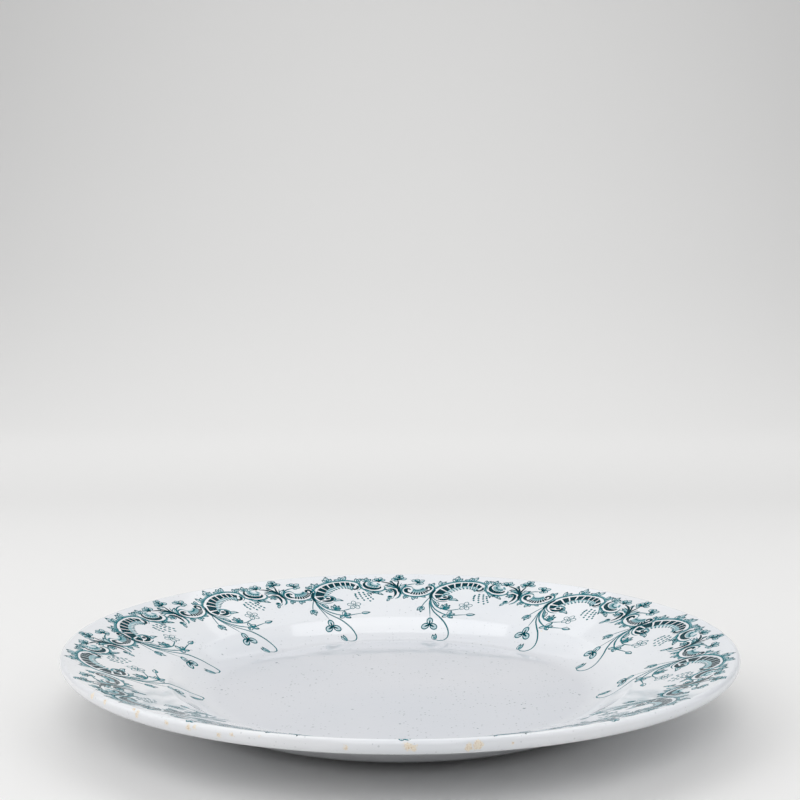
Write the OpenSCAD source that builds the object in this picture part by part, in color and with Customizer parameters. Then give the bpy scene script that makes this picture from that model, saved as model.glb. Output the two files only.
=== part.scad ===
// Round serving dish of glazed earthenware: a jiggered clay body with a broad sloping flange,
// a curved wall, a flat well and a low foot ring, covered by a thin coat of white glaze.
// The dish stands on the XY plane with its axis on +Z. Lengths are in millimetres.

/* [Dish] */
// Diameter over the lip
dish_d = 300; // [260:1:340]
// Height from the table to the top of the lip
dish_h = 30; // [27:0.5:38]
// Thickness of the glazed dish, from the well to the lip
wall_t = 5.2; // [4:0.1:6]
// Upper rounding of the lip, as a share of half the thickness
lip_share = 0.7; // [0.6:0.05:1]

/* [Flange and wall] */
// Distance that the wall leans out between the well and the shoulder, at mid thickness
wall_run = 14; // [8:0.5:18]
// Height that the wall climbs from the well to the shoulder, at mid thickness
wall_rise = 8.9; // [6:0.1:13]
// Bend radius under the shoulder
shoulder_r = 5; // [4:0.5:16]

/* [Well] */
// Diameter of the well where the floor turns up, at mid thickness
well_d = 183; // [160:1:196]
// Height of the well's floor above the table
floor_h = 6.7; // [6.6:0.1:9]
// Bend radius of the cove between floor and wall
cove_r = 24; // [8:1:28]

/* [Foot ring] */
// Distance from the well's edge in to the middle of the foot ring
foot_inset = 12.5; // [7:0.5:30]
// Width of the foot ring
foot_w = 4; // [3:0.1:7]
// Rounding of the foot ring's bottom edges
foot_round = 1.1; // [0.4:0.1:1.4]

/* [Glaze] */
// Thickness of the glaze coat
glaze_t = 0.35; // [0.2:0.05:0.6]

/* [Hidden] */
$fn = 180;

clay_colour = "#e6d9c0";
glaze_colour = "#eef0f3";

// Largest share of a straight stretch that one bend may use up
bend_share = 0.62;
// Angle covered by one step along a bend, in degrees
bend_step = 3;
lip_step = 7.5;

// Corners of the section's middle line, from the axis out to the lip
half_t = wall_t / 2;
well_edge = [well_d / 2, floor_h - half_t];
shoulder = well_edge + [wall_run, wall_rise];

// The lip is rounded tightly above its widest circle and more fully below it.
// Its upper centre lies above the middle line, and the flange is tilted to suit.
lip_r = lip_share * half_t;
lip_centre = [dish_d / 2 - lip_r, dish_h - lip_r];
flange_tilt = heading(shoulder, lip_centre)
    - asin((half_t - lip_r) / norm(lip_centre - shoulder));
lip_under_r = (wall_t - lip_r * (1 + sin(flange_tilt))) / (1 - sin(flange_tilt));
mid_line = [
    [0, well_edge.y],
    well_edge,
    shoulder,
    lip_centre - (half_t - lip_r) * left_of(flange_tilt),
];

base_h = floor_h - wall_t;
foot_edge = min(foot_round, 0.6 * base_h);
foot_mid = well_d / 2 - foot_inset;
foot_out = foot_mid + foot_w / 2;
foot_in = foot_mid - foot_w / 2;

// Heading of the line from corner a to corner b, in degrees above the horizontal
function heading(a, b) = atan2(b.y - a.y, b.x - a.x);
// Unit vector that lies 90 degrees to the left of a heading
function left_of(angle) = [-sin(angle), cos(angle)];
function unit(angle) = [cos(angle), sin(angle)];
function reversed(points) = [for (i = [len(points) - 1 : -1 : 0]) points[i]];
function after_first(points) = [for (i = [1 : len(points) - 1]) points[i]];

// Points on a circle from angle a0 to angle a1
function arc(centre, r, a0, a1, step) =
    let (n = max(1, ceil(abs(a1 - a0) / step)))
    [for (i = [0 : n]) centre + r * unit(a0 + (a1 - a0) * i / n)];

// One rounded corner of the middle line, moved sideways by a distance to its left.
// The bend keeps its centre, so its radius changes with the side that is drawn.
function bend(i, inner_r, shift) =
    let (before = mid_line[i - 1], corner = mid_line[i], after = mid_line[i + 1],
         h0 = heading(before, corner), h1 = heading(corner, after),
         turn = h1 - h0, side = sign(turn),
         room = bend_share * min(norm(corner - before), norm(after - corner)),
         r = min(inner_r + half_t, room / tan(abs(turn) / 2)),
         start = corner - unit(h0) * r * tan(abs(turn) / 2),
         centre = start + side * r * left_of(h0),
         from = h0 - side * 90)
    arc(centre, max(r - side * shift, 0.05), from, from + turn, bend_step);

// Upper side of the section, from the axis to the lip, with the surface moved in by skin
function upper_side(skin) =
    let (shift = half_t - skin)
    concat([mid_line[0] + [0, shift]], bend(1, cove_r, shift), bend(2, shoulder_r, shift));

// Rounded lip, from its upper to its lower side
function lip(skin) = concat(
    arc(lip_centre, lip_r - skin, flange_tilt + 90, 0, lip_step),
    after_first(arc([dish_d / 2 - lip_under_r, lip_centre.y], lip_under_r - skin,
                    0, flange_tilt - 90, lip_step)));

// Underside of the section, from the lip in to the foot ring
function lower_side(skin) =
    let (shift = skin - half_t)
    concat(reversed(concat(bend(1, cove_r, shift), bend(2, shoulder_r, shift))),
           [[foot_out, base_h + skin]]);

function skin_line(skin) = concat(upper_side(skin), lip(skin), lower_side(skin));

// Outline of the foot ring, from its outer side round to its inner side
function foot_line() = concat(
    arc([foot_out - foot_edge, foot_edge], foot_edge, 0, -90, bend_step * 5),
    arc([foot_in + foot_edge, foot_edge], foot_edge, -90, -180, bend_step * 5),
    [[foot_in, base_h + glaze_t]]);

// Fired clay body in one piece with its foot ring, which is left bare of glaze
module clay_body() {
    color(clay_colour)
        rotate_extrude()
            polygon(concat(skin_line(glaze_t), foot_line(), [[0, base_h + glaze_t]]));
}

// Glaze over the face, round the lip and down the back as far as the foot ring
module glaze_coat() {
    color(glaze_colour)
        rotate_extrude()
            polygon(concat(skin_line(0), reversed(skin_line(glaze_t))));
}

// Glaze on the base inside the foot ring
module base_glaze() {
    color(glaze_colour)
        translate([0, 0, base_h])
            cylinder(r = foot_in, h = glaze_t);
}

clay_body();
glaze_coat();
base_glaze();
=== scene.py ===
"""Round serving dish of glazed earthenware with a printed scroll border."""

import bisect
import math

import bmesh
import bpy
from mathutils import Matrix, Vector


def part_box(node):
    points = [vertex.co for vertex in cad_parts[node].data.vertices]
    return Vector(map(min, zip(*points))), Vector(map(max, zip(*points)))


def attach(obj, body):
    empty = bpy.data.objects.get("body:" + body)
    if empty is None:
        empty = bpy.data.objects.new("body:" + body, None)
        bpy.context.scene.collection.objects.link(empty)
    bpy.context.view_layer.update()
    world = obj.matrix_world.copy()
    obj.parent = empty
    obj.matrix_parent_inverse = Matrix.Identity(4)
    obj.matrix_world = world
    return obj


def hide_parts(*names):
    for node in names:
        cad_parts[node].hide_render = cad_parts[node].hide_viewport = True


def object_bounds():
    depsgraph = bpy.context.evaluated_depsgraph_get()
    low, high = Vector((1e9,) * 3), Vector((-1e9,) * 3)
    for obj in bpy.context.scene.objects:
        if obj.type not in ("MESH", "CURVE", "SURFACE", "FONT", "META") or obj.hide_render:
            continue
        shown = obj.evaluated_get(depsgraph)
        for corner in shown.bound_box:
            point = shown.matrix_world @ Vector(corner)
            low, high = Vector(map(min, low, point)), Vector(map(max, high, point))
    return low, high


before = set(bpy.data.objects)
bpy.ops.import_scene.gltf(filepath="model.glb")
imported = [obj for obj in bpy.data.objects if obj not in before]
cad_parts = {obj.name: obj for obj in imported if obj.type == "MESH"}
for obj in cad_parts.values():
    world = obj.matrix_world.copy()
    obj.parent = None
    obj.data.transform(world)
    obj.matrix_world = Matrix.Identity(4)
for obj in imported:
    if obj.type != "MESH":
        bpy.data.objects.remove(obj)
CAD_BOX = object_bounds()

bl_info = {
    "name": "Printed Serving Dish",
    "version": (1, 0, 0),
    "blender": (4, 5, 0),
    "location": "View3D > Sidebar > Dish",
    "description": "Glazed earthenware dish with a scroll border printed in one colour",
    "category": "Object",
}

MM = 0.001
BODY = "root"

GLAZE_LOW, GLAZE_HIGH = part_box("glaze_coat")
DISH_WIDE = round(GLAZE_HIGH.x - GLAZE_LOW.x, 3)
DISH_TALL = round(CAD_BOX[1].z - CAD_BOX[0].z, 4)


def size(label, about, metres):
    """A length that a user can change."""
    return bpy.props.FloatProperty(
        name=label, description=about, default=metres, unit="LENGTH", precision=5)


def number(label, about, value):
    """A plain number that a user can change."""
    return bpy.props.FloatProperty(name=label, description=about, default=value, precision=3)


def turn(label, about, degrees):
    """An angle that a user can change."""
    return bpy.props.FloatProperty(
        name=label, description=about, default=math.radians(degrees), unit="ROTATION")


def tint(label, about, rgb):
    """A colour that a user can change."""
    return bpy.props.FloatVectorProperty(
        name=label, description=about, default=rgb, size=3, min=0, max=1, subtype="COLOR")


class DishSizes(bpy.types.PropertyGroup):
    """Sizes of the dish's section, as the solids have them."""

    diameter: size("Diameter", "Over the lip", DISH_WIDE)
    height: size("Height", "From the table to the top of the lip", DISH_TALL)
    wall: size("Wall", "Thickness of the glazed dish", 5.2 * MM)
    lip_share: number("Lip share", "Upper rounding of the lip, as a share of half the wall", 0.7)
    wall_run: size("Wall run", "Lean of the wall from well to shoulder", 14 * MM)
    wall_rise: size("Wall rise", "Climb of the wall from well to shoulder", 8.9 * MM)
    shoulder_bend: size("Shoulder bend", "Bend radius under the shoulder", 5 * MM)
    well: size("Well", "Diameter where the floor turns up", 183 * MM)
    floor_height: size("Floor height", "Well floor above the table", 6.7 * MM)
    cove_bend: size("Cove bend", "Bend radius between floor and wall", 24 * MM)
    foot_inset: size("Foot inset", "From the well's edge to the foot ring", 12.5 * MM)
    foot_width: size("Foot width", "Width of the foot ring", 4 * MM)
    glaze: size("Glaze", "Thickness of the glaze", 0.35 * MM)


# Degrees by which each repeat of the print sits before its place, clockwise from the far side
SLIPS = (0.4, 0.1, 1.4, 2.0, 1.4, 0.6, -0.4, -1.8, -3.0, -1.4, -0.9, 0.1)


class BorderSizes(bpy.types.PropertyGroup):
    """Sizes of the printed border."""

    radius: size("Radius", "Radius at which the motif is drawn true", 127 * MM)
    start: turn("Start", "Angle of the first spray's root", 81.2)
    slips: bpy.props.FloatVectorProperty(
        name="Slips", description="How far each repeat was laid out of its place", size=12,
        unit="ROTATION", default=[math.radians(angle) for angle in SLIPS])
    drift_x: size("Drift across", "How far the print lies off centre", 0.0)
    drift_y: size("Drift along", "How far the print lies off centre", -1.0 * MM)


class DishLook(bpy.types.PropertyGroup):
    """Colours of the glaze, the ink and the bare clay."""

    glaze: tint("Glaze", "White of the glaze", (0.80, 0.81, 0.83))
    glaze_cool: tint("Cool glaze", "Cooler drifts in the glaze", (0.74, 0.765, 0.80))
    # Pooled glaze also stands for painted shade: it darkens the well and the back near the foot, partly
    # as thick glaze
    glaze_pool_shade: tint("Pooled glaze", "Tint where the glaze lies thick in the well", (0.81, 0.815, 0.835))
    clay: tint("Clay", "Bare fired clay", (0.62, 0.47, 0.30))
    clay_dark: tint("Stained clay", "Dirt in worn clay", (0.24, 0.15, 0.08))
    worn: tint("Worn glaze", "Clay that shows through a worn lip", (0.80, 0.72, 0.58))
    ink_solid: tint("Solid ink", "Dark blocks and crescents", (0.0, 0.040, 0.054))
    ink_line: tint("Line ink", "Drawn lines", (0.0, 0.130, 0.160))
    ink_tone: tint("Tone ink", "Stippled leaves", (0.112, 0.285, 0.325))
    ink_wash: tint("Wash ink", "Palest stipple", (0.40, 0.55, 0.59))


class StageSettings(bpy.types.PropertyGroup):
    """Camera and studio."""

    distance: size("Distance", "Camera to the middle of the lip", 595 * MM)
    elevation: turn("Elevation", "Camera above the lip", 13.68)
    pitch: turn("Pitch", "Camera's tilt below the horizon", 3.11)
    lens: number("Lens", "Focal length in millimetres on a 36 mm sensor", 57.8)
    front: number("Front light", "Watts of the light beside the camera", 8.8)
    left: number("Left light", "Watts of the light on the left", 19.3)
    right: number("Right light", "Watts of the light on the right", 13.6)
    top: number("Top light", "Watts of the overhead light", 6.2)
    soft: number("Soft light", "Watts of the wide sheet of light behind the overhead one", 8.0)
    back: number("Back light", "Watts of the light on the backdrop", 46.0)
    sky: number("Sky", "Strength of the room's light", 0.16)
    paper: number("Paper", "Paleness of the studio paper", 0.8)


class Section:
    """The dish's half section: a middle line with rounded corners, thickened to both sides."""

    def __init__(self, sizes):
        self.half = sizes.wall / 2
        self.skin = sizes.glaze
        edge = Vector((sizes.well / 2, sizes.floor_height - self.half))
        shoulder = edge + Vector((sizes.wall_run, sizes.wall_rise))
        self.lip_top = sizes.lip_share * self.half
        self.lip_centre = Vector((sizes.diameter / 2 - self.lip_top, sizes.height - self.lip_top))
        reach = self.lip_centre - shoulder
        lift = self.half - self.lip_top
        self.tilt = math.atan2(reach.y, reach.x) - math.asin(lift / reach.length)
        rise = math.sin(self.tilt)
        self.lip_under = (sizes.wall - self.lip_top * (1 + rise)) / (1 - rise)
        self.under_centre = Vector((sizes.diameter / 2 - self.lip_under, self.lip_centre.y))
        lip_end = self.lip_centre - ray(self.tilt + math.pi / 2) * lift
        self.corners = [Vector((0, edge.y)), edge, shoulder, lip_end]
        self.bends = (sizes.cove_bend, sizes.shoulder_bend)
        self.foot = Vector((sizes.well / 2 - sizes.foot_inset + sizes.foot_width / 2,
                            sizes.floor_height - sizes.wall))

    def heading(self, i):
        """Angle of the middle line between corner i and the next."""
        run = self.corners[i + 1] - self.corners[i]
        return math.atan2(run.y, run.x)

    def bend(self, i, shift, step):
        """Points of one rounded corner, moved to the left of the middle line."""
        first, second = self.heading(i - 1), self.heading(i)
        side = 1 if second > first else -1
        radius = self.bends[i - 1] + self.half
        start = self.corners[i] - ray(first) * radius * math.tan(abs(second - first) / 2)
        centre = start + ray(first + math.pi / 2) * side * radius
        begin = first - side * math.pi / 2
        return arc(centre, radius - side * shift, begin, begin + second - first, step)

    def upper(self, skin, step):
        """Face of the dish, from its axis to the lip."""
        shift = self.half - skin
        floor = self.corners[0] + Vector((0, shift))
        return [floor, *self.bend(1, shift, step), *self.bend(2, shift, step)]

    def lip(self, skin, step):
        """Lip, from its tight upper rounding to its fuller lower one."""
        upper = arc(self.lip_centre, self.lip_top - skin, self.tilt + math.pi / 2, 0, step)
        under = arc(self.under_centre, self.lip_under - skin, 0, self.tilt - math.pi / 2, step)
        return upper + under[1:]

    def lower(self, skin, step):
        """Back of the dish, from the lip in to the foot ring."""
        shift = skin - self.half
        back = [*self.bend(1, shift, step), *self.bend(2, shift, step)]
        return [*reversed(back), self.foot + Vector((0, skin))]

    def lip_at(self, depth):
        """Distance from the axis and height of the lip's outside, at a depth below its top."""
        drop = self.lip_top - depth
        if drop > 0:
            centre, radius = self.lip_centre, self.lip_top
        else:
            centre, radius = self.under_centre, self.lip_under
        return centre.x + math.sqrt(max(radius ** 2 - drop ** 2, 0.0)), centre.y + drop

    def skin_line(self, skin, step, lip_step):
        """The whole surface at a depth, from the axis over the lip to the foot ring."""
        return self.upper(skin, step) + self.lip(skin, lip_step) + self.lower(skin, step)


# Angles covered by one step of the looked-up surface, along its bends and its lip
FACE_STEP = math.radians(0.5)
FACE_LIP_STEP = math.radians(3)


class Face:
    """The upper surface of the dish, looked up by distance from the axis."""

    def __init__(self, section):
        line = section.upper(0, FACE_STEP) + section.lip(0, FACE_LIP_STEP)
        widest = max(range(len(line)), key=lambda i: line[i].x)
        self.line = line[:widest + 1]
        self.radii = [point.x for point in self.line]

    def at(self, radius):
        """Height of the surface and its normal's outward and upward parts."""
        i = bisect.bisect_right(self.radii, radius)
        i = min(max(i, 1), len(self.line) - 1)
        low, high = self.line[i - 1], self.line[i]
        run = high - low
        share = min(max((radius - low.x) / run.x, 0), 1)
        normal = Vector((-run.y, run.x)).normalized()
        return low.y + run.y * share, normal


def ray(angle):
    """Unit vector at an angle above the horizontal."""
    return Vector((math.cos(angle), math.sin(angle)))


def arc(centre, radius, begin, end, step):
    """Points along a circle's arc."""
    count = max(1, math.ceil(abs(end - begin) / step))
    return [centre + ray(begin + (end - begin) * i / count) * radius for i in range(count + 1)]


# Edges that turn more than this are shaded sharp
SHARP_ANGLE = math.radians(40)


def link(name, bm, materials):
    """Turns a bmesh into a smooth-shaded object at the origin."""
    mesh = bpy.data.meshes.new(name)
    bm.to_mesh(mesh)
    bm.free()
    for material in materials:
        mesh.materials.append(material)
    mesh.shade_smooth()
    mesh.set_sharp_from_angle(angle=SHARP_ANGLE)
    piece = bpy.data.objects.new(name, mesh)
    bpy.context.scene.collection.objects.link(piece)
    return piece


# Shader building

class Wire:
    """A shader socket that takes part in Python arithmetic."""

    def __init__(self, paint, socket):
        self.paint = paint
        self.socket = socket

    def __add__(self, other):
        return self.paint.maths("ADD", self, other)

    def __sub__(self, other):
        return self.paint.maths("SUBTRACT", self, other)

    def __rsub__(self, other):
        return self.paint.maths("SUBTRACT", other, self)

    def __mul__(self, other):
        return self.paint.maths("MULTIPLY", self, other)

    __radd__ = __add__
    __rmul__ = __mul__

    def clamped(self):
        """The value held between 0 and 1."""
        return self.paint.maths("ADD", self, 0.0, clamp=True)

    def most(self, other):
        """The larger of two values."""
        return self.paint.maths("MAXIMUM", self, other)


class Paint:
    """A node material under construction."""

    def __init__(self, name):
        self.material = bpy.data.materials.new(name)
        self.material.use_nodes = True
        self.tree = self.material.node_tree
        self.tree.nodes.clear()

    def node(self, kind, inputs, output=0, **settings):
        """Adds one node: its settings, then its sockets' values or links. Returns one output, if any."""
        made = self.tree.nodes.new(kind)
        for name, value in settings.items():
            setattr(made, name, value)
        for name, value in inputs.items():
            if isinstance(value, Wire):
                self.tree.links.new(value.socket, made.inputs[name])
            else:
                made.inputs[name].default_value = value
        return Wire(self, made.outputs[output]) if len(made.outputs) else None

    def maths(self, operation, first, second, clamp=False):
        """One step of arithmetic."""
        return self.node("ShaderNodeMath", {0: first, 1: second},
                         operation=operation, use_clamp=clamp)

    def place(self):
        """A point's place on the piece, in metres."""
        return self.node("ShaderNodeTexCoord", {}, output="Object")

    def reach(self):
        """Distance from the dish's axis, in metres."""
        level = self.node("ShaderNodeVectorMath", {0: self.place(), 1: (1.0, 1.0, 0.0)},
                          operation="MULTIPLY")
        return self.node("ShaderNodeVectorMath", {0: level}, output="Value", operation="LENGTH")

    def noise(self, scale, detail, roughness=0.5):
        """Cloudy noise from 0 to 1, with its scale in features per metre."""
        inputs = {"Vector": self.place(), "Scale": scale, "Detail": detail, "Roughness": roughness}
        return self.node("ShaderNodeTexNoise", inputs)

    def patches(self, scale, detail, gain, cut, roughness=0.5):
        """Noise sharpened into patches from 0 to 1."""
        return (self.noise(scale, detail, roughness) * gain - cut).clamped()

    def swing(self, scale, detail, gain, roughness=0.5):
        """Noise that swings to both sides of zero."""
        return self.noise(scale, detail, roughness) * gain - gain / 2

    def cells(self, scale, output="Distance"):
        """Scattered cells: a point's distance from the nearest centre, or that cell's colour."""
        inputs = {"Vector": self.place(), "Scale": scale}
        return self.node("ShaderNodeTexVoronoi", inputs, output=output)

    def blend(self, factor, first, second, mode="MIX"):
        """Mixes two colours."""
        colours = [c if isinstance(c, Wire) else (*c, 1.0) for c in (first, second)]
        return self.node("ShaderNodeMix", {0: factor, 6: colours[0], 7: colours[1]},
                         output=2, data_type="RGBA", blend_type=mode)

    def bump(self, height, distance, normal=None):
        """Relief of a depth in metres, on top of another relief if one is given."""
        inputs = {"Height": height, "Distance": distance, "Strength": 1.0}
        if normal is not None:
            inputs["Normal"] = normal
        return self.node("ShaderNodeBump", inputs)

    def finish(self, **sockets):
        """Closes the material with a principled surface."""
        named = {name.replace("_", " "): value for name, value in sockets.items()}
        surface = self.node("ShaderNodeBsdfPrincipled", named)
        self.node("ShaderNodeOutputMaterial", {"Surface": surface})
        return self.material


# Materials

GLAZE_ROUGHNESS = 0.035
GLAZE_IOR = 1.5
# Relief of the glaze: noise scale, detail and depth
SLOW_WAVES = (70.0, 1.0, 0.055 * MM)
ORANGE_PEEL = (420.0, 2.0, 0.012 * MM)
# Cool drifts in the glaze: noise scale, detail, gain and cut
DRIFTS = (11.0, 3.0, 2.4, 0.7)
# Where the glaze begins to pool in the well, and over what distance it thickens; the same edge bounds the
# painted shade that darkens the well
POOL_SHADE_EDGE = 100 * MM
POOL_SHADE_BLUR = 18 * MM


def glaze_waves(paint):
    """Slow waves and fine orange peel of a dipped glaze."""
    scale, detail, depth = SLOW_WAVES
    slow = paint.bump(paint.noise(scale, detail), depth)
    scale, detail, depth = ORANGE_PEEL
    return paint.bump(paint.noise(scale, detail), depth, normal=slow)


# Worn spots on the lip: angle round the dish in degrees, then millimetres below the lip's top
# and millimetres from the spot's middle to its edge
WORN = (
    (-97, 2.8, 1.0), (-89, 1.7, 1.7), (-88.3, 2.6, 1.6), (-81, 3.0, 1.7), (-79.8, 2.4, 2.0),
    (-75, 2.4, 0.7), (-142, 1.2, 1.4), (-138, 1.3, 1.2), (-131, 0.2, 1.0), (-130, 0.9, 1.1),
    (-130, 1.7, 1.2), (-124, 1.8, 1.1), (-120, 1.6, 1.1), (-119, 1.1, 0.9), (-115, 2.6, 1.0),
    (-113, 1.6, 0.8), (-109, 1.0, 0.7),
)
# A fleck of clay high on the wall of the well: angle, radius and size
FLECK = (45.6, 103.6, 0.8)
# Millimetres by which a spot's edge wanders, and the noise that moves it: scale, detail, gain
# and roughness
WANDER = 2.0
RAGGED = (900.0, 4.0, 2 * WANDER, 0.7)
# How sharply a spot ends, how much of the glaze it takes and the roughness it adds
WORN_EDGE = 2.0
WORN_COVER = 0.85
WORN_ROUGHNESS = 0.5
# Crumbs of darker clay in a worn spot: noise scale, detail, gain and cut
CRUMBS = (1900.0, 2.0, 5.0, 2.4)


def worn_spots(section):
    """Places and sizes of the worn spots."""
    places = []
    for angle, depth, extent in WORN:
        reach, height = section.lip_at(depth * MM)
        places.append((angle, reach, height, extent))
    angle, reach, extent = FLECK
    places.append((angle, reach * MM, Face(section).at(reach * MM)[0], extent))
    return [((*(ray(math.radians(a)) * reach), height), extent) for a, reach, height, extent in places]


def worn_through(paint, spots):
    """How far the glaze is worn away, from 0 to 1, about a few spots."""
    ragged = paint.swing(*RAGGED)
    depth = ragged - WANDER
    for spot, extent in spots:
        away = paint.node("ShaderNodeVectorMath", {0: paint.place(), 1: spot},
                          output="Value", operation="DISTANCE")
        depth = depth.most(ragged + extent - away * (1.0 / MM))
    return (depth * WORN_EDGE).clamped()


# Specks in the glaze: cells per metre, speck's largest radius in cells, its colour and its strength
SPECKS = (
    (60.0, 0.070, (0.60, 0.50, 0.38), 0.5),
    (150.0, 0.120, (0.10, 0.15, 0.18), 0.9),
    (310.0, 0.170, (0.14, 0.18, 0.20), 0.8),
    (560.0, 0.260, (0.20, 0.23, 0.25), 0.7),
)
# How far the specks' sizes are spread, and how sharply each one ends
SPECK_SPREAD = 1.6
SPECK_EDGE = 45.0
# Patches in which specks gather: noise scale, detail, gain and cut
CLUSTERS = (45.0, 3.0, 3.0, 0.9)
# Share of the well's specks that the flange and the back have
SPECKS_OUTSIDE = 0.4


def glaze_material(look, name, spots):
    """White glaze with specks, worn through to the clay at the given spots."""
    paint = Paint(name)
    colour = paint.blend(paint.patches(*DRIFTS), look.glaze, look.glaze_cool)
    # Painted shade, partly pooled glaze: the well and the back inside the pool edge are darkened by a
    # multiplied tint
    pool_and_shade = ((POOL_SHADE_EDGE - paint.reach()) * (1.0 / POOL_SHADE_BLUR)).clamped()
    colour = paint.blend(pool_and_shade, colour, look.glaze_pool_shade, "MULTIPLY")
    clusters = paint.patches(*CLUSTERS) * (pool_and_shade * (1.0 - SPECKS_OUTSIDE) + SPECKS_OUTSIDE)
    for scale, reach, speck_colour, strength in SPECKS:
        pick = paint.node("ShaderNodeSeparateColor", {0: paint.cells(scale, "Color")})
        radius = pick * reach * SPECK_SPREAD - reach * (SPECK_SPREAD - 1.0)
        speck = ((radius - paint.cells(scale)) * SPECK_EDGE).clamped()
        colour = paint.blend(speck * clusters * strength, colour, speck_colour)
    worn = worn_through(paint, spots)
    bared = paint.blend(paint.patches(*CRUMBS), look.worn, look.clay)
    colour = paint.blend(worn * WORN_COVER, colour, bared)
    rough = worn * WORN_ROUGHNESS + GLAZE_ROUGHNESS
    return paint.finish(Base_Color=colour, Roughness=rough, IOR=GLAZE_IOR, Normal=glaze_waves(paint))


CLAY_ROUGHNESS = 0.85
# Soil in the bare clay: noise scale, detail, gain, cut and roughness, and how much of it shows
SOIL = (60.0, 5.0, 3.0, 1.3, 0.6)
SOIL_COVER = 0.5
# Relief of the bare clay: noise scale, detail and depth
GRIT = (1500.0, 3.0, 0.08 * MM)


def clay_material(look):
    """Bare fired clay of the foot ring: buff, gritty and soiled."""
    paint = Paint("biscuit_clay")
    colour = paint.blend(paint.patches(*SOIL) * SOIL_COVER, look.clay, look.clay_dark)
    scale, detail, depth = GRIT
    grit = paint.bump(paint.noise(scale, detail), depth)
    return paint.finish(Base_Color=colour, Roughness=CLAY_ROUGHNESS, Normal=grit)


# How fully each ink covers the glaze
INK_COVER = {"wash": 0.7, "tone": 0.75, "line": 0.85, "solid": 0.98}
# Wear and stipple of the inks: noise scale, detail and gain, and the wear's roughness
INK_WEAR = (330.0, 3.0, 3.0, 0.6)
INK_STIPPLE = (2600.0, 1.0, 2.4)
# Share of the glaze's shine that is left over the ink
INK_SHINE = 0.03


def ink_material(look, tone):
    """Printed ink under the glaze, with the stipple of a paper transfer."""
    paint = Paint("ink_" + tone)
    ink = getattr(look, "ink_" + tone)
    thin = ((paint.swing(*INK_WEAR) + paint.swing(*INK_STIPPLE)) * (1.0 - INK_COVER[tone])).clamped()
    colour = paint.blend(thin, ink, look.glaze)
    return paint.finish(Base_Color=colour, Roughness=GLAZE_ROUGHNESS, IOR=GLAZE_IOR,
                        Specular_IOR_Level=INK_SHINE, Normal=glaze_waves(paint))


PAPER_ROUGHNESS = 0.9
# Faint warmth of the studio paper
PAPER_TINT = (1.0, 0.995, 0.985)


def paper_material(paleness):
    """Matt paper of the studio floor."""
    paint = Paint("studio_paper")
    colour = (*(paleness * part for part in PAPER_TINT), 1.0)
    return paint.finish(Base_Color=colour, Roughness=PAPER_ROUGHNESS)


# Printed border

# Millimetres by which each ink stands above the glaze, and by which its film is sunk in it
FILM = {"wash": 0.018, "tone": 0.024, "line": 0.030, "solid": 0.036}
FILM_ROOT = 0.02
# Longest side of one face of a film in millimetres, so that it follows the curve of the dish
FILM_STEP = 1.1
# Share of a leaf's width that is left at its point, and share of an oval's squared width at its ends
BLUNT_POINT = 0.04
BLUNT_END = 0.004
# Distance along a path over which its direction is taken, as a share of its length
SIDE_STEP = 0.004


def through(points):
    """A smooth path through given points, as a function of 0 to 1."""
    knots = [Vector(point) for point in points]
    chain = [2 * knots[0] - knots[1], *knots, 2 * knots[-1] - knots[-2]]
    spans = len(knots) - 1

    def at(t):
        along = min(max(t, 0.0), 1.0) * spans
        i = min(int(along), spans - 1)
        u = along - i
        a, b, c, d = chain[i:i + 4]
        return 0.5 * (2 * b + (c - a) * u + (2 * a - 5 * b + 4 * c - d) * u ** 2
                      + (3 * b - a - 3 * c + d) * u ** 3)

    return at


def coil(centre, outer, inner, begin, turns):
    """A spiral path about a centre, from its outer to its inner radius."""
    middle = Vector(centre)

    def at(t):
        return middle + ray(begin + turns * 2 * math.pi * t) * (outer + (inner - outer) * t)

    return at


def ring(centre, long, wide, angle):
    """A closed oval path whose long axis lies at an angle."""
    middle, ahead = Vector(centre), ray(angle)
    across = Vector((-ahead.y, ahead.x))

    def at(t):
        turned = ray(2 * math.pi * t)
        return middle + ahead * (long * turned.x) + across * (wide * turned.y)

    return at


def side_of(path, t):
    """Unit vector to the left of a path."""
    ahead = (path(min(t + SIDE_STEP, 1.0)) - path(max(t - SIDE_STEP, 0.0))).normalized()
    return Vector((-ahead.y, ahead.x))


def beside(path, distance):
    """A path that runs beside another, at a distance to its left."""
    return lambda t: path(t) + side_of(path, t) * distance


def edge_of(path, width, share):
    """One edge of a stroke: a path moved to its left by a share of the stroke's width."""
    return lambda t: path(t) + side_of(path, t) * (width(t) * share)


def stretch(path, begin, end):
    """The part of a path between two shares of its length."""
    return lambda t: path(begin + (end - begin) * t)


def tapered(width, head=0.25, tail=0.25, least=0.25):
    """A width that thins toward both ends of a stroke."""
    def at(t):
        near = min(1.0, t / head if head else 1.0, (1.0 - t) / tail if tail else 1.0)
        return width * (least + (1.0 - least) * near)

    return at


def pointed(width, fullest):
    """A width that swells from nothing to its fullest place and ends in a point."""
    power = math.log(0.5) / math.log(fullest)
    return lambda t: width * (BLUNT_POINT + math.sin(math.pi * t ** power))


def oval(width):
    """A width that makes a stroke an oval."""
    return lambda t: width * math.sqrt(max(1.0 - (2 * t - 1) ** 2, BLUNT_END))


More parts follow.
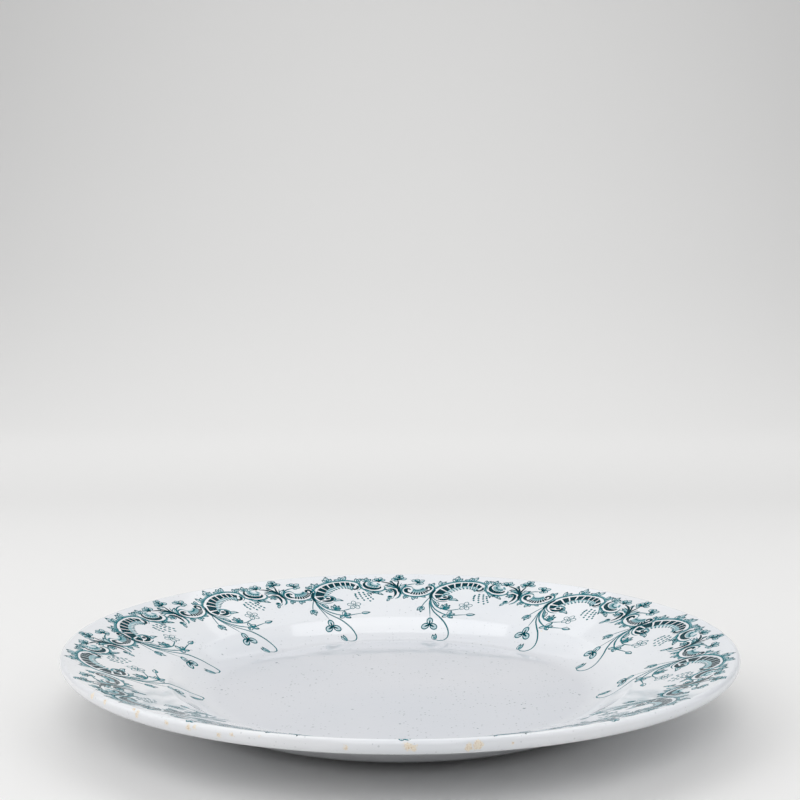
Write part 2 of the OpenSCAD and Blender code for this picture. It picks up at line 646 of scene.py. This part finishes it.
class Motif:
    """One repeat of the border, drawn flat in millimetres: x along the rim, y toward the lip."""

    def __init__(self):
        self.films = {tone: bmesh.new() for tone in FILM}
        self.place = Vector((0.0, 0.0))

    def fill(self, tone, left, right, least=5):
        """Ink between two paths that run the same way."""
        ahead = left(0.6) + right(0.6) - left(0.4) - right(0.4)
        if ahead.cross(left(0.5) - right(0.5)) < 0:
            left, right = right, left
        spots = [(left(i / 8) + right(i / 8)) / 2 for i in range(9)]
        long = sum((b - a).length for a, b in zip(spots, spots[1:]))
        steps = max(least, math.ceil(long / FILM_STEP))
        across = math.ceil((left(0.5) - right(0.5)).length / FILM_STEP)
        grid = bmesh.ops.create_grid(self.films[tone], x_segments=steps, y_segments=across, size=0.5)
        for vert in grid["verts"]:
            spot = right(vert.co.x + 0.5).lerp(left(vert.co.x + 0.5), vert.co.y + 0.5)
            vert.co = (*(spot + self.place), FILM[tone])

    def stroke(self, tone, path, width, least=5):
        """A stroke of ink along a path, of a width that changes along it."""
        self.fill(tone, edge_of(path, width, 0.5), edge_of(path, width, -0.5), least)

    def line(self, points, width, tone="line"):
        """A drawn line through points."""
        self.stroke(tone, through(points), tapered(width, least=0.4), 4 * (len(points) - 1))

    def bead(self, centre, long, wide, angle=0.0, tone="line"):
        """A short dash or dot."""
        middle, ahead = Vector(centre), ray(angle)
        axis = through([middle - ahead * long, middle + ahead * long])
        self.stroke(tone, axis, oval(2 * wide))

    def leaf(self, base, tip, width, bow=0.0, tone="wash"):
        """A pointed leaf: drawn edges and rib, one shaded side and a dark tip."""
        base, tip = Vector(base), Vector(tip)
        run = tip - base
        path = through([base, (base + tip) / 2 + Vector((-run.y, run.x)) * bow, tip])
        shape = pointed(width, 0.42)
        self.fill(tone, path, edge_of(path, shape, -0.5), 6)
        for side in (-0.5, 0.5):
            self.stroke("line", edge_of(path, shape, side), tapered(0.46, 0.1, 0.1, 0.5), 6)
        self.stroke("tone", path, tapered(0.4, 0, 0.5), 4)
        self.stroke("solid", stretch(path, 0.75, 1.0), tapered(0.7, 0.3, 0.7, 0.3), 3)

    def frond(self, base, tips, width, tone="wash"):
        """Leaves that fan out from one place."""
        for tip in tips:
            self.leaf(base, tip, width, 0.0, tone)

    def petal(self, root, tip, width):
        """A petal with a drawn edge, one shaded side and a dark root."""
        path = through([root, tip])
        shape = pointed(width, 0.6)
        self.fill("wash", path, edge_of(path, shape, -0.5), 6)
        for side in (-0.5, 0.5):
            self.stroke("line", edge_of(path, shape, side), tapered(0.5, 0.1, 0.1, 0.6), 6)
        self.stroke("tone", stretch(path, 0.3, 0.8), tapered(0.5, 0.1, 0.5), 4)
        self.stroke("solid", stretch(path, 0.0, 0.4), tapered(0.6, 0.1, 0.7), 4)

    def bloom(self, centre, petals, width):
        """A flower: petals at their own angles and lengths, about a dark eye."""
        middle = Vector(centre)
        for angle, reach in petals:
            way = ray(math.radians(angle))
            self.petal(middle + way * 0.4, middle + way * reach, width)
        self.bead(centre, 0.7, 0.6, 0.0, "solid")

    def ribs(self, crest, trough, count, gap):
        """Dark blocks between two paths, parted by white bars."""
        for i in range(count):
            begin, end = (i + gap) / count, (i + 1 - gap) / count
            self.fill("solid", stretch(crest, begin, end), stretch(trough, begin, end))

    def fringe(self, root, hem, count):
        """A shaded edge with a row of small dark-ended tongues."""
        self.fill("wash", root, lambda t: root(t).lerp(hem(t), 0.55), 2 * count)
        for i in range(count):
            t = (i + 0.5) / count
            self.stroke("tone", through([root(t), hem(t)]), tapered(0.75, 0, 0, 1.0), 2)
            self.bead(hem(t), 0.6, 0.5)

    def scroll(self, rim, outside, crescent, width):
        """A curled scroll: drawn and shaded outer edge, white band and a dark crescent inside it."""
        edge = through(rim)
        self.stroke("tone", stretch(beside(edge, outside * 1.7), 0.06, 0.94), tapered(0.9))
        self.stroke("line", beside(edge, outside), tapered(0.6, 0.1, 0.1, 0.5), 4 * len(rim))
        self.stroke("solid", through(crescent), tapered(width, 0.4, 0.35, 0.3), 4 * len(crescent))


def draw_great_scroll(art):
    """The arched scroll: white band, dark ribs, pale fringe, curled ends and leaves."""
    band = through([(9.5, -6.3), (6.8, -6.9), (4.2, -6.3), (2.1, -4.6), (0.9, -2.0), (0.7, 0.8),
                    (1.4, 3.6), (3.0, 6.2), (5.4, 8.6), (8.4, 10.7), (11.8, 12.2), (15.6, 13.0),
                    (19.5, 13.2), (23.0, 12.5), (25.5, 10.7), (26.6, 8.1), (26.2, 5.6), (24.4, 4.3)])
    art.stroke("tone", stretch(beside(band, 1.5), 0.3, 0.92), tapered(1.1))
    art.stroke("line", beside(band, 0.85), tapered(0.6, 0.05, 0.1), 50)
    crest = through([(2.9, -5.1), (1.3, -0.6), (3.7, 5.6), (6.6, 8.5), (10.3, 10.9), (13.8, 12.2),
                     (17.3, 12.7), (19.9, 12.6), (22.4, 12.0), (25.3, 9.2)])
    trough = through([(4.9, -4.0), (5.7, -0.6), (7.5, 2.5), (9.1, 5.2), (11.2, 6.9), (14.1, 8.5),
                      (17.4, 9.2), (19.8, 9.1), (22.2, 8.7), (23.9, 7.2)])
    hem = through([(6.4, -2.0), (7.6, -0.4), (9.4, 1.6), (11.2, 3.4), (13.2, 5.0), (15.4, 6.2),
                   (18.0, 6.7), (20.2, 6.3), (21.6, 5.4), (22.6, 4.0)])
    art.ribs(crest, trough, 9, 0.1)
    art.fringe(trough, hem, 13)
    art.line([(25.6, 8.8), (25.9, 7.0), (25.0, 5.4), (23.6, 5.1), (23.0, 6.2)], 1.4, "solid")
    art.line([(3.6, -5.0), (6.2, -5.6), (8.8, -5.0), (9.9, -3.2), (9.0, -1.9)], 1.9, "solid")
    art.bead((7.4, -3.1), 1.3, 0.9, 0.0, "solid")
    art.line([(6.2, -1.2), (8.0, -0.7), (9.8, -1.2), (11.1, -2.7), (11.2, -4.5), (10.0, -6.0)],
             0.9, "tone")
    art.line([(6.2, -0.9), (8.2, -0.3), (10.2, -0.9), (11.6, -2.6), (11.7, -4.6), (10.2, -6.3)], 0.35)
    art.leaf((9.8, -6.0), (15.6, -6.3), 1.9, 0.2)
    art.frond((3.7, 8.2), [(2.6, 13.5), (5.7, 13.1)], 2.0)
    art.frond((10.9, 13.4), [(9.0, 16.4), (11.2, 19.3), (13.6, 16.9)], 2.4)
    art.frond((18.6, 14.4), [(14.8, 15.8), (17.8, 18.3), (21.1, 19.0)], 2.4)
    art.frond((26.2, 12.4), [(25.8, 16.3), (28.2, 16.1)], 1.9)


def draw_first_shell(art):
    """The cupped shell beyond the great scroll, with the leaves above and below it."""
    art.scroll([(28.4, 12.6), (27.8, 10.2), (28.1, 7.6), (29.5, 5.3), (32.0, 3.7), (35.1, 3.1),
                (37.8, 3.6), (39.2, 5.3), (38.8, 7.5)], -0.75,
               [(30.6, 12.4), (29.5, 10.5), (29.6, 8.4), (30.9, 6.4), (33.2, 5.1), (35.8, 4.9),
                (37.4, 5.7), (37.8, 7.1)], 2.2)
    hollow = through([(31.9, 12.3), (31.0, 10.4), (31.1, 8.7), (32.2, 7.2), (34.0, 6.3), (35.8, 6.2),
                      (36.8, 7.0)])
    bowl = through([(34.6, 13.0), (34.2, 11.6), (34.3, 10.6), (34.9, 9.8), (35.7, 9.4), (36.6, 9.3),
                    (37.2, 9.6)])
    hem = through([(33.4, 12.4), (32.7, 10.6), (32.8, 9.4), (33.5, 8.5), (34.6, 7.9), (35.7, 7.8),
                   (36.5, 8.2)])
    art.fill("wash", hollow, bowl, 12)
    art.fringe(hollow, hem, 8)
    art.line([(36.2, 11.0), (36.9, 9.6), (37.8, 8.4)], 1.1, "tone")
    art.frond((30.6, 12.4), [(28.9, 15.9), (31.4, 17.0), (33.5, 15.0)], 2.0)
    art.leaf((28.7, 5.0), (32.3, -1.3), 1.6, 0.1)
    art.frond((33.8, 2.2), [(33.5, 0.0), (36.5, -0.4), (38.9, -1.7)], 1.8)
    art.bead((33.4, 1.5), 0.9, 0.6, 0.0, "solid")


def draw_second_shell(art):
    """The wide shell before the next root, with its ribbed hollow and the leaves that hang from it."""
    art.scroll([(54.4, 5.0), (53.4, 6.1), (51.6, 5.9), (50.2, 4.5), (49.8, 2.5), (50.5, 0.4),
                (52.4, -1.3), (55.2, -2.2), (58.4, -2.2), (61.4, -1.1), (63.8, 1.0), (65.3, 3.6),
                (65.4, 6.2), (64.0, 7.9), (62.6, 7.6)], -0.75,
               [(53.7, 3.6), (52.6, 4.7), (51.4, 4.2), (51.1, 2.6), (52.0, 1.1), (53.6, 0.3)], 2.1)
    crest = through([(53.2, -0.3), (55.6, -1.2), (58.2, -1.4), (60.8, -0.6), (62.9, 1.2), (64.2, 3.6)])
    trough = through([(54.2, 1.5), (56.2, 0.9), (58.2, 0.8), (59.9, 1.4), (61.3, 2.6), (62.2, 4.2)])
    art.ribs(crest, trough, 8, 0.14)
    art.line([(63.9, 3.4), (64.5, 5.2), (63.8, 6.7), (62.4, 6.6), (62.0, 5.3), (62.9, 4.6)], 1.4, "solid")
    hem = through([(54.8, 3.4), (56.4, 3.2), (57.8, 3.2), (59.0, 3.7), (59.9, 4.4), (60.4, 5.4)])
    bowl = through([(55.2, 4.6), (56.6, 4.6), (57.8, 4.7), (58.8, 5.0), (59.6, 5.6), (60.2, 6.4)])
    art.fill("wash", trough, bowl, 10)
    art.fringe(trough, hem, 8)
    art.line([(54.4, 5.2), (55.6, 4.2), (56.0, 2.8)], 0.7, "tone")
    art.frond((51.0, -2.0), [(50.2, -5.7), (52.4, -4.5)], 1.7)
    art.frond((55.8, -3.0), [(55.2, -6.7), (58.0, -5.2)], 1.9)
    art.leaf((59.6, -2.6), (62.5, -3.8), 1.5)
    art.frond((64.6, 7.8), [(63.0, 10.2), (65.7, 11.2)], 1.7)


def draw_hooked_scroll(art):
    """The scroll that hooks down beside the spray, with its curled foot."""
    art.scroll([(40.9, 5.6), (43.2, 6.1), (45.4, 5.0), (46.8, 2.6), (47.2, -0.4), (46.6, -3.2),
                (44.8, -5.2)], 0.7,
               [(41.6, 4.3), (43.4, 4.6), (45.0, 3.4), (45.6, 1.0), (45.4, -1.4), (44.5, -3.4)], 1.6)
    art.frond((44.0, 2.9), [(39.9, 4.0), (40.2, 1.6), (42.3, 0.6)], 1.7)
    art.bead((42.6, -3.7), 1.3, 1.2, 0.0, "tone")
    art.stroke("line", coil((42.6, -3.7), 2.1, 0.6, math.radians(20), -1.2), tapered(0.55), 20)
    art.bead((42.3, -3.5), 0.7, 0.7, 0.0, "solid")
    art.leaf((42.0, -5.2), (40.5, -8.0), 1.5)


def draw_spray(art):
    """The dark stems between the shells, with their leaves and flowers."""
    art.bead((47.6, 2.4), 2.3, 0.8, math.radians(105), "solid")
    art.line([(48.7, -1.2), (48.0, 2.4), (46.3, 5.8), (44.2, 8.8), (41.8, 10.8), (38.6, 12.0)],
             1.2, "solid")
    art.line([(47.9, 2.8), (46.6, 6.8), (44.8, 10.0), (43.1, 12.9)], 0.9, "solid")
    art.line([(47.2, 4.4), (45.2, 7.2), (42.4, 8.9), (40.2, 9.4)], 0.6)
    art.leaf((46.4, 5.2), (40.0, 8.2), 1.7, -0.1)
    art.line([(48.0, 3.0), (46.8, 7.8), (47.4, 13.0)], 0.9, "solid")
    art.line([(48.3, 3.2), (47.8, 7.0), (48.9, 10.4)], 0.5)
    art.leaf((48.2, 3.4), (51.4, 9.6), 2.1, 0.14)
    art.line([(48.5, 3.2), (50.4, 7.2), (53.0, 9.2), (56.2, 10.0)], 0.8)
    art.leaf((43.6, 10.8), (43.4, 13.4), 1.2)
    art.bloom((37.2, 12.4), [(150, 3.8), (112, 4.0), (72, 4.6), (35, 4.0)], 2.1)
    art.bloom((47.4, 14.2), [(168, 3.9), (128, 3.8), (18, 4.2), (56, 3.8), (214, 2.8)], 2.2)
    art.bloom((47.8, 16.3), [(112, 3.2), (70, 3.3)], 1.9)
    art.bloom((57.0, 11.4), [(135, 4.0), (95, 3.8), (38, 4.3), (-80, 2.8), (-25, 3.4)], 2.2)


def draw_trefoil(art, centre):
    """Three round outlined petals about a dark heart."""
    middle = Vector(centre)
    for angle, reach, long, wide in ((95, 2.3, 1.9, 1.8), (200, 3.0, 2.5, 1.6), (-20, 3.0, 2.5, 1.6)):
        way = ray(math.radians(angle))
        petal = middle + way * reach
        art.bead(petal + way * 0.5, 0.6 * long, 0.6 * wide, math.radians(angle), "wash")
        art.stroke("line", ring(petal, long, wide, math.radians(angle)), tapered(0.72, 0, 0), 16)
        art.stroke("tone", through([middle + way, petal + way * 0.6]), tapered(1.3, 0.1, 0.4))
        art.stroke("solid", through([middle - way * 0.2, petal + way * 0.2]), tapered(1.1, 0.1, 0.6))


def draw_star_flower(art, centre):
    """Five open petals drawn in thin line, with a small eye."""
    middle = Vector(centre)
    for i in range(5):
        angle = math.radians(90 + 72 * i)
        way = ray(angle)
        art.stroke("line", ring(middle + way * 2.4, 1.7, 1.3, angle), tapered(0.4, 0, 0), 14)
        art.stroke("tone", through([middle + way, middle + way * 2.4]), tapered(0.4))
    art.stroke("line", ring(centre, 0.8, 0.7, 0.0), tapered(0.4, 0, 0), 8)


def draw_sprigs(art):
    """The thin sprigs that hang from the scroll's root into the dish."""
    art.line([(0.4, 5.4), (-1.0, 2.4), (-1.4, -1.2), (-1.2, -4.8)], 1.6, "solid")
    art.line([(-2.0, 2.6), (-2.3, -0.4), (-1.8, -3.6)], 0.6, "tone")
    art.line([(-1.5, -2.0), (-1.1, -6.6), (0.8, -11.4), (4.4, -15.2), (8.0, -17.4)], 0.7, "tone")
    art.line([(-0.7, -2.0), (0.6, -6.4), (2.8, -10.8), (6.4, -13.8)], 0.7, "tone")
    art.line([(-1.6, -1.6), (-3.4, -5.6), (-5.0, -9.6), (-5.8, -12.0)], 0.55)
    art.frond((-5.7, -11.4), [(-8.2, -15.6), (-5.8, -17.2), (-4.0, -15.0)], 2.2)
    art.line([(-1.4, -2.0), (-1.5, -8.0), (-0.4, -14.5), (0.9, -22.0)], 0.55)
    draw_trefoil(art, (1.3, -26.4))
    art.line([(-1.2, -2.0), (-0.8, -9.0), (1.8, -15.4), (6.2, -20.5), (11.2, -24.9), (14.9, -29.7),
              (15.8, -34.2), (13.8, -37.6), (10.2, -38.4), (7.4, -37.2)], 0.85)
    art.leaf((7.6, -37.6), (6.6, -32.0), 2.0, 0.0, "tone")
    art.leaf((7.4, -37.8), (4.8, -32.6), 2.0, 0.1)
    art.line([(-0.9, -3.6), (0.2, -9.5), (3.4, -14.7), (8.6, -18.0), (13.4, -19.2), (19.0, -18.3),
              (24.0, -17.5)], 0.7)
    art.frond((11.6, -18.9), [(13.2, -14.6), (16.2, -17.6), (15.6, -21.6), (8.4, -21.2)], 2.6, "tone")
    art.leaf((23.0, -17.6), (28.8, -16.9), 2.2, 0.0, "tone")
    art.line([(-0.6, -3.6), (1.6, -8.7), (5.8, -12.8), (11.0, -14.3), (15.8, -13.2), (18.6, -11.8)], 0.65)
    art.frond((7.8, -13.2), [(6.2, -9.0), (8.8, -7.6), (11.2, -9.2), (11.6, -11.8)], 2.3, "tone")
    draw_star_flower(art, (20.2, -9.4))
    art.line([(0.2, -4.8), (2.0, -7.0), (3.4, -9.6)], 0.7)
    art.leaf((1.8, -6.4), (4.4, -10.8), 2.2)


def draw_dots(art):
    """The falling dots under the great scroll."""
    for points, count in (([(23.6, 0.8), (23.4, -2.0), (24.4, -5.6)], 4),
                          ([(25.5, 2.4), (26.2, -2.2), (27.8, -7.4)], 5),
                          ([(27.8, 2.2), (29.0, -2.6), (31.4, -8.6)], 5),
                          ([(30.0, 0.6), (31.2, -2.8), (33.2, -6.4)], 4)):
        row = through(points)
        for i in range(count):
            art.bead(row((i + 0.5) / count), 0.8, 0.58, math.radians(-70))


# The drawings of one repeat, and where each is set in it
RIM_PLACE = Vector((-0.8, 1.6))
SPRIG_PLACE = Vector((0.0, 0.0))
DRAWINGS = (
    (draw_great_scroll, RIM_PLACE),
    (draw_first_shell, RIM_PLACE),
    (draw_second_shell, RIM_PLACE),
    (draw_hooked_scroll, RIM_PLACE),
    (draw_spray, RIM_PLACE),
    (draw_dots, RIM_PLACE),
    (draw_sprigs, SPRIG_PLACE),
)


def print_border(art, face, border):
    """Repeats the motif round the dish, each with its slip, and lays the films on the glaze."""
    for bm in art.films.values():
        bmesh.ops.solidify(bm, geom=bm.faces[:], thickness=FILM_ROOT * 2)
        for vert in bm.verts:
            flat = ray(-vert.co.x * MM / border.radius) * (border.radius + vert.co.y * MM)
            vert.co = (flat.x, flat.y, vert.co.z * MM)
        motif = [*bm.verts, *bm.edges, *bm.faces]
        for i, slip in enumerate(border.slips):
            copy = bmesh.ops.duplicate(bm, geom=motif)["geom"]
            angle = border.start - 2 * math.pi * i / len(border.slips) + slip
            verts = [part for part in copy if isinstance(part, bmesh.types.BMVert)]
            bmesh.ops.rotate(bm, verts=verts, matrix=Matrix.Rotation(angle, 3, "Z"))
        bmesh.ops.delete(bm, geom=[part for part in motif if isinstance(part, bmesh.types.BMVert)])
        for vert in bm.verts:
            flat = Vector((vert.co.x + border.drift_x, vert.co.y + border.drift_y))
            height, normal = face.at(flat.length)
            spot = flat.normalized() * (flat.length + normal.x * vert.co.z)
            vert.co = (spot.x, spot.y, height + normal.y * vert.co.z)


# Operators

class MakeClayBody(bpy.types.Operator):
    """Give the fired clay body its bare, gritty finish"""

    bl_idname = "dish.clay_body"
    bl_label = "Clay body"

    def execute(self, context):
        look = context.scene.dish_look
        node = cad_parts["clay_body"]
        node.data.materials.clear()
        node.data.materials.append(clay_material(look))
        return {"FINISHED"}


# Angles covered by one step of the turned glaze along its bends and its lip, outside and then inside
OUTER_STEPS = (math.radians(2), math.radians(9))
INNER_STEPS = (math.radians(6), math.radians(22))
# Steps round the dish, and the distance within which its points are merged
ROUND_STEPS = 480
MERGE_REACH = 0.001 * MM


class MakeGlaze(bpy.types.Operator):
    """Turn the glaze coat and finish the glaze on the base"""

    bl_idname = "dish.glaze"
    bl_label = "Glaze"

    def execute(self, context):
        look = context.scene.dish_look
        section = Section(context.scene.dish_sizes)
        bm = bmesh.new()
        outline = section.skin_line(0, *OUTER_STEPS)
        outline += reversed(section.skin_line(section.skin, *INNER_STEPS))
        verts = [bm.verts.new((point.x, 0, point.y)) for point in outline]
        for first, second in zip(verts, verts[1:]):
            bm.edges.new((first, second))
        bmesh.ops.spin(bm, geom=[*bm.verts, *bm.edges], cent=(0, 0, 0), axis=(0, 0, 1),
                       angle=2 * math.pi, steps=ROUND_STEPS, use_merge=True)
        bmesh.ops.remove_doubles(bm, verts=bm.verts[:], dist=MERGE_REACH)
        bmesh.ops.recalc_face_normals(bm, faces=bm.faces[:])
        coat = link("glaze_coat_fine", bm, [glaze_material(look, "white_glaze", worn_spots(section))])
        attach(coat, BODY)
        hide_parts("glaze_coat")
        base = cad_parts["base_glaze"]
        base.data.materials.clear()
        base.data.materials.append(glaze_material(look, "base_glaze", ()))
        return {"FINISHED"}


class PrintBorder(bpy.types.Operator):
    """Draw one repeat of the border and print it round the dish"""

    bl_idname = "dish.border"
    bl_label = "Printed border"

    def execute(self, context):
        look = context.scene.dish_look
        face = Face(Section(context.scene.dish_sizes))
        art = Motif()
        for draw, place in DRAWINGS:
            art.place = place
            draw(art)
        print_border(art, face, context.scene.dish_border)
        for tone, bm in art.films.items():
            piece = link("border_" + tone, bm, [ink_material(look, tone)])
            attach(piece, BODY)
        return {"FINISHED"}


# Studio lights: the setting that holds each one's power, its place, its width and height, and its aim
DISH_PLACE = (0.0, 0.0, 0.0)
LIGHTS = (
    ("front", (0.0, -1.3, 1.25), (1.0, 1.0), DISH_PLACE),
    ("left", (-1.5, -0.3, 0.95), (2.2, 1.8), DISH_PLACE),
    ("right", (1.5, -0.3, 0.95), (2.2, 1.8), DISH_PLACE),
    ("top", (0.0, 0.4, 1.5), (1.6, 0.7), DISH_PLACE),
    ("soft", (0.0, 1.0, 1.52), (2.8, 1.5), DISH_PLACE),
    ("back", (0.0, 1.1, 1.9), (3.2, 0.7), (0.0, 3.9, 1.3)),
)
# Colour of the room's light, and the camera's sensor in millimetres
ROOM_TINT = (0.97, 0.98, 1.0)
SENSOR_WIDTH = 36.0
# Steps of the curve between the studio floor and the backdrop
SWEEP_STEPS = 48


class SetStage(bpy.types.Operator):
    """Set the paper sweep, the lights and the camera"""

    bl_idname = "dish.stage"
    bl_label = "Stage"

    def execute(self, context):
        scene = context.scene
        stage = scene.dish_stage
        self.sweep(stage.paper)
        for name, place, extent, aim in LIGHTS:
            self.light(name + "_light", place, extent, getattr(stage, name), aim)
        world = bpy.data.worlds.new("room")
        world.use_nodes = True
        room = world.node_tree.nodes["Background"].inputs
        room["Color"].default_value = (*ROOM_TINT, 1.0)
        room["Strength"].default_value = stage.sky
        scene.world = world
        scene.view_settings.view_transform = "Standard"
        camera = bpy.data.cameras.new("camera")
        camera.lens = stage.lens
        camera.sensor_width = SENSOR_WIDTH
        holder = bpy.data.objects.new("camera", camera)
        lip_height = Section(scene.dish_sizes).lip_centre.y
        holder.location = (0.0, -stage.distance * math.cos(stage.elevation),
                           lip_height + stage.distance * math.sin(stage.elevation))
        holder.rotation_euler = (math.pi / 2 - stage.pitch, 0.0, 0.0)
        scene.collection.objects.link(holder)
        scene.camera = holder
        return {"FINISHED"}

    def sweep(self, paleness):
        """A floor that curves up into a backdrop, with its sizes in metres."""
        wide, near, far, bend, tall = 6.0, -3.0, 1.6, 2.4, 1.0
        bm = bmesh.new()
        ends = [bm.verts.new((side * wide / 2, near, 0.0)) for side in (-1, 1)]
        edge = bm.edges.new(ends)
        grown = bmesh.ops.extrude_edge_only(bm, edges=[edge])["geom"]
        verts = [v for v in grown if isinstance(v, bmesh.types.BMVert)]
        bmesh.ops.translate(bm, verts=verts, vec=(0.0, far - near, 0.0))
        edges = [e for e in grown if isinstance(e, bmesh.types.BMEdge)]
        last = [e for e in edges if all(v in verts for v in e.verts)]
        turned = bmesh.ops.spin(bm, geom=last, cent=(0.0, far, bend), axis=(1, 0, 0),
                                angle=math.pi / 2, steps=SWEEP_STEPS)["geom_last"]
        last = [e for e in turned if isinstance(e, bmesh.types.BMEdge)]
        grown = bmesh.ops.extrude_edge_only(bm, edges=last)["geom"]
        verts = [v for v in grown if isinstance(v, bmesh.types.BMVert)]
        bmesh.ops.translate(bm, verts=verts, vec=(0.0, 0.0, tall))
        bmesh.ops.recalc_face_normals(bm, faces=bm.faces[:])
        paper = link("paper_sweep", bm, [paper_material(paleness)])

    def light(self, name, place, extent, power, aim):
        """A soft light of a width and a height."""
        lamp = bpy.data.lights.new(name, "AREA")
        lamp.shape = "RECTANGLE"
        lamp.size, lamp.size_y = extent
        lamp.energy = power
        holder = bpy.data.objects.new(name, lamp)
        holder.location = place
        holder.rotation_euler = (Vector(aim) - Vector(place)).to_track_quat("-Z", "Y").to_euler()
        bpy.context.scene.collection.objects.link(holder)


class DishPanel(bpy.types.Panel):
    """Sizes, colours and steps of the dish"""

    bl_idname = "VIEW3D_PT_dish"
    bl_label = "Serving dish"
    bl_space_type = "VIEW_3D"
    bl_region_type = "UI"
    bl_category = "Dish"

    def draw(self, context):
        for step in STEPS:
            self.layout.operator(step.bl_idname)
        for group in GROUPS:
            column = self.layout.column(align=True)
            for name in GROUPS[group].__annotations__:
                column.prop(getattr(context.scene, group), name)


STEPS = (MakeClayBody, MakeGlaze, PrintBorder, SetStage)
GROUPS = {"dish_sizes": DishSizes, "dish_border": BorderSizes, "dish_look": DishLook,
          "dish_stage": StageSettings}


def register():
    for group in GROUPS.values():
        bpy.utils.register_class(group)
    for name, group in GROUPS.items():
        setattr(bpy.types.Scene, name, bpy.props.PointerProperty(type=group))
    for step in (*STEPS, DishPanel):
        bpy.utils.register_class(step)


def unregister():
    for step in (*STEPS, DishPanel):
        bpy.utils.unregister_class(step)
    for name, group in GROUPS.items():
        delattr(bpy.types.Scene, name)
        bpy.utils.unregister_class(group)


def main():
    register()
    for step in STEPS:
        area, name = step.bl_idname.split(".")
        getattr(getattr(bpy.ops, area), name)()


if __name__ == "__main__":
    main()
